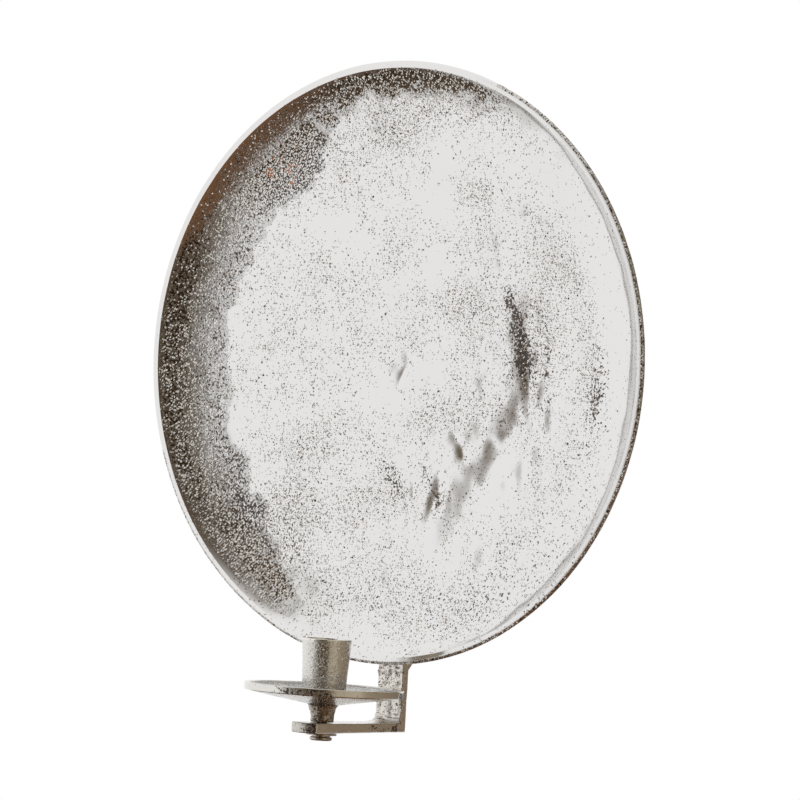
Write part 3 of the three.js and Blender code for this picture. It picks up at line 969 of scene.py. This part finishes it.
def deep_skin(radius, up, cover, brown):
    """Where the skin is thick: high and low on the wall, and along the lip at the left."""
    dark_rim = rising(radius + 6 * cover, 148, 157) * rising(up, -0.7, -0.4)
    dark_rim *= 0.7 * falling(up, 0.35, 0.5)
    deep = max(rising(up, 0.55, 0.70), rising(-up, 0.48, 0.70), dark_rim) * (1 - brown)
    return deep * (1 - rising(-up, 0.45, 0.65) * rising(radius, 153, 159))


def dish_rule(co, normal):
    """Grain, pitting and skin at a point of the dish."""
    x, z = dish_place(co)
    radius = math.hypot(x, z)
    if normal.y > 0.3 and radius < 168:
        return BACK_FINISH
    if radius > 168.6 and (x > 60 or z < -60):
        return LIP_FINISH
    cover = waves(x, z, 30, 11.0)
    pitting, skin = marked(x, z, cover)
    up = z / max(radius, 1.0)
    left = rising(-x + 0.35 * z, -22, 24)
    wall = cast_wall(x, z, radius, up, cover)
    calm = 0.45 * rising(-x / max(radius, 1.0), 0.75, 0.98) * rising(up, -0.45, -0.1)
    calm *= falling(radius, 144, 152)
    brown = rising(up, 0.30, 0.55) * falling(up, 0.88, 0.97) * left
    brown *= rising(radius + 5 * cover, 147, 155)
    grain = wall * (0.02 + 0.98 * left) * (1 - 0.6 * calm) * top_density(radius, up, cover)
    grain *= 1 - 0.8 * brown
    pitting *= 1 - 0.85 * rising(radius, 126, 138) * rising(x, 20, 90)
    pitting *= 1 - rising(radius, 165, 166.5) * (1 - 0.7 * rising(-up, 0.5, 0.7))
    pitting += wall * left * (0.10 + 0.35 * falling(radius, 142, 154))
    deep = deep_skin(radius, up, cover, brown)
    bottom = 0.22 * falling(radius, 134, 146) * (1 - deep)
    skin += (0.18 + 0.55 * deep + bottom) * wall * left * (1 - calm)
    return grain, pitting, skin


def make_dish(material):
    bm = spun(dish_profile(), DISH_STEPS, TO_WALL, dish_centre)
    bm.normal_update()
    fronts = [vert.normal.y < -0.25 for vert in bm.verts]
    for vert, front in zip(bm.verts, fronts):
        hand_shaped(vert, front)
    bm.normal_update()
    painted(bm, dish_rule)
    finished(bm, "polished_dish", "reflector_plate", "dish_and_bracket", material)


# Bracket
def bracket_outline():
    """The side view in Y and Z, once round."""
    foot_step = FOOT_THICK - POST_THICK
    post_back = -FOOT_THICK + POST_THICK
    foot_bottom = dish_centre.z - RIM_RADIUS - FOOT_BELOW_RIM
    nose = bracket_low.y
    fillet = CORNER_FILLET
    start = (BACK_Y - fillet, ARM_TOP_Z)
    inner = [start, *curve_points(start, (BACK_Y, ARM_TOP_Z), (BACK_Y, ARM_TOP_Z + fillet), 5)]
    return [
        (0.0, bracket_high.z),
        (0.0, foot_bottom + foot_step),
        (post_back, foot_bottom),
        (post_back, ARM_TOP_Z - ARM_HEEL_THICK),
        (nose, ARM_TOP_Z - ARM_NOSE_THICK),
        (nose, ARM_TOP_Z),
        *inner,
        (BACK_Y, bracket_high.z),
    ]


def sliced(bm, axis, low, high, step):
    """Cuts the mesh by evenly spaced planes, so that its faces can be shaped."""
    count = max(1, round((high - low) / step))
    for index in range(1, count):
        at = low + (high - low) * index / count
        geom = [*bm.verts, *bm.edges, *bm.faces]
        bmesh.ops.bisect_plane(bm, geom=geom, dist=MERGE, plane_co=axis * at, plane_no=axis)


def cut_round(piece, places, radius, length, axis):
    """Drills round holes through a finished piece."""
    bm = bmesh.new()
    turn = UP.rotation_difference(axis).to_matrix().to_4x4()
    for place in places:
        matrix = Matrix.Translation(place) @ turn
        bmesh.ops.create_cone(
            bm, cap_ends=True, segments=40, radius1=radius, radius2=radius, depth=length, matrix=matrix
        )
    mesh = bpy.data.meshes.new("drill")
    bm.to_mesh(mesh)
    bm.free()
    drill = bpy.data.objects.new("drill", mesh)
    bpy.context.scene.collection.objects.link(drill)
    modifier = piece.modifiers.new("drilled", "BOOLEAN")
    modifier.operation = "DIFFERENCE"
    modifier.solver = "EXACT"
    modifier.object = drill
    graph = bpy.context.evaluated_depsgraph_get()
    drilled = bpy.data.meshes.new_from_object(piece.evaluated_get(graph))
    piece.modifiers.clear()
    piece.data = drilled
    bpy.data.objects.remove(drill)


# Smudges on the arm's sides: y, z, half length, half width, turn
ARM_STAINS = ((-13, -301, 6, 3.2, 60), (-33, -300, 4, 1.6, 20), (-24, -303, 5, 1.2, 10))
# A lump on the post's left edge, just above the arm
LUMP_PLACE = Vector((-BAR_HALF * 0.55, BACK_Y - 3.5 * MM, ARM_TOP_Z + 1 * MM))
LUMP_RADIUS = 4.2 * MM
LUMP_HEIGHT = 1.6 * MM


def post_skin(co):
    """1 on the post's front, between the arm and the dish, where the skin is rough."""
    rim_bottom = dish_centre.z - RIM_RADIUS
    on_post = rising(co.z, ARM_TOP_Z + 1 * MM, ARM_TOP_Z + 6 * MM)
    free = falling(co.z, rim_bottom - 1 * MM, rim_bottom + 1 * MM)
    return on_post * falling(co.y, BACK_Y + 0.2 * MM, BACK_Y + 1.6 * MM) * free


def bracket_rule(co, normal):
    """Grain, pitting and skin at a point of the bracket, with painted shade on the right half of the arm's
    end given as skin.
    """
    nose = bracket_low.y
    skin = post_skin(co)
    side = rising(abs(normal.x), 0.5, 0.8)
    end = rising(-normal.y, 0.5, 0.8) * (co.y < nose + 8 * MM)
    post = rising(co.z, ARM_TOP_Z, ARM_TOP_Z + 4 * MM)
    grain = 0.12 * (1 - side) * (1 - skin) + (0.10 + 0.25 * post) * side + 0.45 * end
    stains = (falloff(co.y / MM, co.z / MM, stain) for stain in ARM_STAINS)
    # Painted shade: the right half of the arm's end, below its top edge, is darkened as skin
    painted_shade_end = 0.60 * rising(co.x, -2 * MM, 6 * MM) * (co.y < nose + 9 * MM) * (1 - side)
    crust = side * 0.6 * max(stains) + 0.16 * skin + painted_shade_end * rising(ARM_TOP_Z - co.z, 0, 0.4 * MM)
    return grain, 0.3 + 0.7 * skin + 0.8 * end, crust


def rounded_nose(bm):
    """Draws the arm's end back at its sides, to an arc."""
    blend_back = bracket_low.y + NOSE_RADIUS
    for vert in bm.verts:
        if vert.co.y < blend_back:
            share = (blend_back - vert.co.y) / NOSE_RADIUS
            drop = NOSE_RADIUS - math.sqrt(NOSE_RADIUS ** 2 - min(abs(vert.co.x), BAR_HALF) ** 2)
            vert.co.y += drop * share


def make_bracket(material):
    outline = [(-BAR_HALF, y, z) for y, z in bracket_outline()]
    bm = extruded(outline, ACROSS * 2 * BAR_HALF)
    bevelled(bm, creases(bm, 25), 0.55 * MM, 3)
    sliced(bm, ACROSS, -BAR_HALF, BAR_HALF, 1.1 * MM)
    sliced(bm, TO_WALL, bracket_low.y, 0.0, 1.3 * MM)
    sliced(bm, UP, bracket_low.z, bracket_high.z, 1.3 * MM)
    bmesh.ops.triangulate(bm, faces=[face for face in bm.faces if len(face.verts) > 4])
    rounded_nose(bm)
    roughened(bm, 0.50 * MM, 4.2 * MM, 3, post_skin)
    roughened(bm, 0.45 * MM, 1.9 * MM, 4, post_skin)
    roughened(bm, 0.16 * MM, 9 * MM, 5, lambda co: rising(-co.y, 0.5 * MM, 3 * MM))
    for vert in bm.verts:
        near = (vert.co - LUMP_PLACE).length / LUMP_RADIUS
        vert.co += vert.normal * LUMP_HEIGHT * math.exp(-near * near)
    painted(bm, bracket_rule)
    piece = finished(bm, "bracket_casting", "bracket", "dish_and_bracket", material)
    middle = ARM_TOP_Z - ARM_NOSE_THICK / 2
    cut_round(piece, [cup_axis + UP * middle], BORE_RADIUS, 4 * ARM_NOSE_THICK, UP)


# Cup, pan and stem
CUP_FOOT_RADIUS = 12 * MM
CANDLE_DEPTH = 21.5 * MM
CANDLE_MOUTH_RADIUS = 11.25 * MM
CANDLE_SEAT_RADIUS = 10.85 * MM
SCREW_STOP = 3 * MM
PAN_SLOPE = math.tan(math.radians(9.8))
PAN_FOOT_RADIUS = 9.2 * MM
PAN_THICK = 3.5 * MM
PAN_SEAT_RADIUS = 13.5 * MM
PAN_LIP = 2.2 * MM
PAN_WALL = 4.4 * MM
STEM_FOOT_RADIUS = 6.35 * MM
STEM_WAIST_RADIUS = 6.75 * MM
STEM_WAIST_HEIGHT = 3.9 * MM


def off_axis(co):
    return (co - cup_axis).xy.length


def facing(normal):
    """Which way a face looks, in degrees round from the front."""
    return math.degrees(math.atan2(normal.x, -normal.y))


def make_cup(material):
    base, mouth = cup_low.z, cup_high.z
    mouth_radius = (cup_high.x - cup_low.x) / 2
    seat = mouth - CANDLE_DEPTH
    profile = softened([
        (0.0, seat - SCREW_STOP, 0),
        (BORE_RADIUS, seat - SCREW_STOP, 0),
        (BORE_RADIUS, base, 0),
        (CUP_FOOT_RADIUS, base, 0.4 * MM),
        (mouth_radius, mouth, 0.45 * MM),
        (CANDLE_MOUTH_RADIUS, mouth, 0.35 * MM),
        (CANDLE_SEAT_RADIUS, seat, 0.8 * MM),
        (0.0, seat, 0),
    ], 0.9 * MM)
    bm = spun(profile, 128, UP, cup_axis)

    def outside(co):
        return rising(off_axis(co), 11.6 * MM, 11.9 * MM)

    def rule(co, normal):
        lip = rising(co.z, mouth - 1.2 * MM, mouth - 0.4 * MM)
        middle = rising(facing(normal), -30, 0) * falling(facing(normal), 30, 55)
        return (0.42 + 0.15 * middle) * (1 - lip), 0.35 + 0.30 * middle, 0.0

    roughened(bm, 0.22 * MM, 9 * MM, 11, outside)
    roughened(bm, 0.10 * MM, 3 * MM, 12, outside)
    painted(bm, rule)
    finished(bm, "cup_casting", "candle_cup", "cup_stack", material)


def make_pan(material):
    radius = (pan_high.x - pan_low.x) / 2
    low, top = pan_low.z, pan_high.z
    floor_edge = radius - PAN_WALL
    rim_low, floor_at, seat_at = (
        low + PAN_SLOPE * (at - PAN_FOOT_RADIUS) + thick
        for at, thick in ((radius, 0.0), (floor_edge, PAN_THICK), (PAN_SEAT_RADIUS, PAN_THICK))
    )
    profile = softened([
        (BORE_RADIUS, low, 0),
        (PAN_FOOT_RADIUS, low, 0.5 * MM),
        (radius - 0.15 * MM, rim_low, 0.6 * MM),
        (radius, top, 0.45 * MM),
        (radius - PAN_LIP, top, 0.5 * MM),
        (floor_edge, floor_at, 1.2 * MM),
        (PAN_SEAT_RADIUS, seat_at, 0.3 * MM),
        (BORE_RADIUS, seat_at, 0),
    ], 1.2 * MM, closed=True)
    bm = spun(profile, 256, UP, cup_axis, closed=True)

    def open_bowl(co):
        away = off_axis(co)
        return rising(away, 14 * MM, 17 * MM) * (1 - 0.7 * rising(away, radius - 3 * MM, radius))

    def rule(co, normal):
        rim = rising(off_axis(co), radius - 1.2 * MM, radius - 0.3 * MM)
        under = rising(-normal.z, 0.3, 0.8)
        above = rising(normal.z, 0.5, 0.8) * falling(co.z, top - 0.8 * MM, top - 0.3 * MM)
        way = facing(normal)
        # Painted shade: the rim is darker where it faces front to front-right and right-back, given as skin
        dark = rim * rising(way, -4, 10) * falling(way, 38, 48)
        dark += 1.6 * rim * rising(way, 102, 110) * falling(way, 130, 140)
        dark *= falling(co.z, top - 0.7 * MM, top - 0.3 * MM)
        grain = (0.15 + 0.35 * under + 0.85 * above) * (1 - rim)
        return grain, 0.4 - 0.2 * rim, 0.08 * above + 0.52 * dark

    roughened(bm, 0.30 * MM, 16 * MM, 21, open_bowl)
    roughened(bm, 0.08 * MM, 4 * MM, 22, open_bowl)
    painted(bm, rule)
    finished(bm, "pan_casting", "drip_pan", "cup_stack", material)


def make_stem(material):
    low, high = stem_low.z, stem_high.z
    top = (stem_high.x - stem_low.x) / 2
    waist = (STEM_WAIST_RADIUS, low + STEM_WAIST_HEIGHT)
    flare = curve_points(waist, (STEM_WAIST_RADIUS + 0.6 * MM, high - 1 * MM), (top, high), 10)
    profile = [(BORE_RADIUS, low), (STEM_FOOT_RADIUS - 0.35 * MM, low), (STEM_FOOT_RADIUS, low + 0.4 * MM)]
    profile += line_points(profile[-1], waist, 4) + flare
    profile += line_points(flare[-1], (BORE_RADIUS, high), 3)
    profile += line_points(profile[-1], (BORE_RADIUS, low), 8)[:-1]
    bm = spun(profile, 96, UP, cup_axis, closed=True)

    def outside(co):
        return rising(off_axis(co), 5.8 * MM, 6.2 * MM) * rising(high - co.z, 0, 1 * MM)

    roughened(bm, 0.5 * MM, 5 * MM, 31, outside)
    roughened(bm, 0.2 * MM, 2 * MM, 32, outside)
    painted(bm, lambda co, normal: (0.7, 0.3, 0.22))
    finished(bm, "stem_casting", "stem", "cup_stack", material)


# Washers and screws
LOCK_SPLIT = 1.2 * MM
DISC_HEAD_HEIGHT = 2.1 * MM
PAN_HEAD_HEIGHT = 2.4 * MM
SLOT_REACH = 0.2 * MM


def washer_section(low, high, outer, roundings):
    """A washer's section, with its four corners rounded off."""
    corners = ((BORE_RADIUS, low.z), (outer, low.z), (outer, high.z), (BORE_RADIUS, high.z))
    rounded = [(*corner, rounding) for corner, rounding in zip(corners, roundings)]
    return softened(rounded, 2 * MM, closed=True)


def make_washer(material):
    outer = (washer_high.x - washer_low.x) / 2
    section = washer_section(washer_low, washer_high, outer, (0.12 * MM, 0.22 * MM, 0.30 * MM, 0.12 * MM))
    bm = spun(section, 96, UP, cup_axis, closed=True)
    finished(bm, "plain_washer", "washer", "washers", material)


def make_lock_washer(material):
    """A spring washer: a ring with a split in it."""
    outer = (lock_high.y - lock_low.y) / 2
    section = washer_section(lock_low, lock_high, outer, (0.10 * MM, 0.15 * MM, 0.15 * MM, 0.10 * MM))
    gap = LOCK_SPLIT / (BORE_RADIUS + outer)
    bm = bmesh.new()
    points = [cup_axis + ACROSS * radius + UP * height for radius, height in section]
    face = bm.faces.new([bm.verts.new(point) for point in points])
    bmesh.ops.rotate(bm, verts=bm.verts, cent=cup_axis, matrix=Matrix.Rotation(gap, 3, UP))
    bmesh.ops.spin(bm, geom=[face], cent=cup_axis, axis=UP, angle=2 * math.pi - 2 * gap, steps=72)
    bmesh.ops.recalc_face_normals(bm, faces=bm.faces)
    finished(bm, "split_washer", "lock_washer", "washers", material)


def threaded(radius, start, end, pitch):
    """A shank's profile, whose rings go in and out with the pitch, within its radius."""
    depth = 0.35 * pitch
    count = round((end - start) / pitch * 4)
    points = []
    for index in range(count + 1):
        sunk = (0.5, 0.0, 0.5, 1.0)[index % 4]
        points.append((radius - depth * sunk, start + (end - start) * index / count))
    return points


def make_clamp_screw(material):
    head = (clamp_high.x - clamp_low.x) / 2
    bottom, tip = clamp_low.z, clamp_high.z
    top = bottom + DISC_HEAD_HEIGHT
    chamfer = HEAD_CHAMFER
    profile = [
        (0.0, bottom),
        (head - 2.2 * chamfer, bottom),
        (head - chamfer * 0.9, bottom + 0.16 * MM),
        (head - 0.1 * MM, bottom + chamfer),
        (head, bottom + chamfer + 0.2 * MM),
        (head, top - chamfer),
        (head - 0.15 * MM, top - chamfer * 0.5),
        (head - chamfer, top),
        (SHANK_RADIUS, top),
        *threaded(SHANK_RADIUS, top + 1.5 * MM, tip - 1 * MM, THREAD_PITCH),
        (SHANK_RADIUS - 0.8 * MM, tip),
        (0.0, tip),
    ]
    bm = spun(profile, 64, UP, cup_axis)
    cut_slot(bm, cup_axis + UP * bottom, -UP, SLOT_REACH, TO_WALL)
    finished(bm, "clamp_screw_steel", "clamp_screw", "screw", material)


def sunk_head(face):
    """A countersunk head's profile, from the shank to its flat face."""
    return [
        (SMALL_SHANK, face - (SMALL_HEAD - SMALL_SHANK)),
        (SMALL_HEAD - 0.1 * MM, face - 0.2 * MM),
        (SMALL_HEAD - 0.15 * MM, face),
    ]


def pan_head(face):
    """A pan head's profile, from the shank to its rounded face."""
    seat = face - PAN_HEAD_HEIGHT
    shoulder = (SMALL_HEAD, seat + 1.1 * MM)
    return [
        (SMALL_SHANK, seat),
        (SMALL_HEAD - 0.1 * MM, seat),
        (SMALL_HEAD, seat + 0.15 * MM),
        shoulder,
        *curve_points(shoulder, (SMALL_HEAD - 0.2 * MM, face), (SMALL_HEAD * 0.55, face), 6),
    ]


# Small screws: node, piece, head, and how far below the head the thread stops
SMALL_SCREWS = (
    ("bracket_screw_upper", "upper_bracket_screw", sunk_head, 1.0 * MM),
    ("bracket_screw_lower", "lower_bracket_screw", sunk_head, 1.0 * MM),
    ("hanger_screw_left", "left_hanger_screw", pan_head, 0.6 * MM),
    ("hanger_screw_right", "right_hanger_screw", pan_head, 0.6 * MM),
)


def screw_place(low, high, y):
    """The middle of a screw's box in X and Z, at a depth in Y."""
    return Vector(((low.x + high.x) / 2, y, (low.z + high.z) / 2))


def make_small_screws(material):
    for node, name, head_profile, bare in SMALL_SCREWS:
        low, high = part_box(node)
        centre = screw_place(low, high, 0.0)
        head = head_profile(high.y)
        thread = threaded(SMALL_SHANK, low.y + 0.7 * MM, head[0][1] - bare, SMALL_PITCH)
        profile = [(0.0, low.y), (SMALL_SHANK - 0.5 * MM, low.y), *thread, *head, (0.0, high.y)]
        bm = spun(profile, 48, TO_WALL, centre)
        cut_slot(bm, centre + TO_WALL * high.y, TO_WALL, SLOT_REACH / 2, UP)
        finished(bm, name, node, "dish_and_bracket", material)


# Hanger strap
STRAP_THICK = 2 * MM
BRIDGE_HALF = 15 * MM
RISER_RUN = 2.5 * MM
DRILL_LENGTH = 6 * MM
SCREW_CLEARANCE = 0.3 * MM
KEY_SLOT_HALF = 2.5 * MM
KEY_ENTRY_RADIUS = 5 * MM
KEY_DROP = 9 * MM
KEY_STEPS = 7


def strap_outline():
    """The strap's bent shape seen from above, in X and Y, once round."""
    tab_end = hanger_high.x
    tab_start = BRIDGE_HALF + RISER_RUN
    half = STRAP_THICK / 2
    front, back = hanger_low.y, hanger_high.y
    return [
        (tab_start - half, front),
        (BRIDGE_HALF - half, back - STRAP_THICK),
        (-BRIDGE_HALF + half, back - STRAP_THICK),
        (-tab_start + half, front),
        (-tab_end, front),
        (-tab_end, front + STRAP_THICK),
        (-tab_start - half, front + STRAP_THICK),
        (-BRIDGE_HALF - half, back),
        (BRIDGE_HALF + half, back),
        (tab_start + half, front + STRAP_THICK),
        (tab_end, front + STRAP_THICK),
        (tab_end, front),
    ]


def is_bend(edge):
    """Whether an upright edge lies at one of the strap's bends."""
    first, second = (vert.co for vert in edge.verts)
    return abs((first - second).normalized().z) > 0.9 and abs(first.x) < hanger_high.x - MM


def make_hanger(material):
    outline = [(x, y, hanger_low.z) for x, y in strap_outline()]
    bm = extruded(outline, UP * (hanger_high.z - hanger_low.z))
    bevelled(bm, [edge for edge in bm.edges if is_bend(edge)], 0.8 * MM, 4)
    bevelled(bm, creases(bm, 60), 0.2 * MM, 2)
    piece = finished(bm, "hanger_strap", "hanger", "dish_and_bracket", material)
    cut_round(piece, [UP * -KEY_DROP], KEY_ENTRY_RADIUS, DRILL_LENGTH, TO_WALL)
    for index in range(KEY_STEPS + 1):
        place = UP * (-KEY_DROP * index / KEY_STEPS)
        cut_round(piece, [place], KEY_SLOT_HALF, DRILL_LENGTH, TO_WALL)
    middle = hanger_low.y + STRAP_THICK / 2
    screws = [screw_place(*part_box(node), middle) for node in ("hanger_screw_left", "hanger_screw_right")]
    cut_round(piece, screws, SMALL_SHANK + SCREW_CLEARANCE, DRILL_LENGTH, TO_WALL)


place_camera()
make_world()
make_floor()
make_side_flag()
make_low_flag()
make_lamps()

polished_casting = dish_casting("polished_casting", POLISHED, 0.10, 0.14)
rough_casting = casting("rough_casting", (0.74, 0.71, 0.66), 0.15, 0.20, (900, 60, 900), 1.1 * MM)
pan_casting = casting("pan_casting", (0.74, 0.72, 0.68), 0.10, 0.18, (500, 500, 1800), 1.0 * MM)
cup_casting = casting("cup_casting", (0.86, 0.84, 0.80), 0.12, 0.18, (900, 900, 60), 1.0 * MM)
stem_casting = casting("stem_casting", (0.56, 0.50, 0.43), 0.15, 0.20, (900, 900, 200), 1.1 * MM)
screw_steel = turned_steel("screw_steel", (0.50, 0.46, 0.41), 0.26, 0.6)
zinc_steel = turned_steel("zinc_screws", (0.64, 0.64, 0.62), 0.32, 0.3)
strap_steel = turned_steel("strap_steel", (0.60, 0.60, 0.59), 0.36, 0.3)

make_dish(polished_casting)
make_bracket(rough_casting)
make_stem(stem_casting)
make_pan(pan_casting)
make_cup(cup_casting)
make_washer(screw_steel)
make_lock_washer(screw_steel)
make_clamp_screw(screw_steel)
make_small_screws(zinc_steel)
make_hanger(strap_steel)

scene = bpy.context.scene
scene.view_settings.view_transform = "Standard"
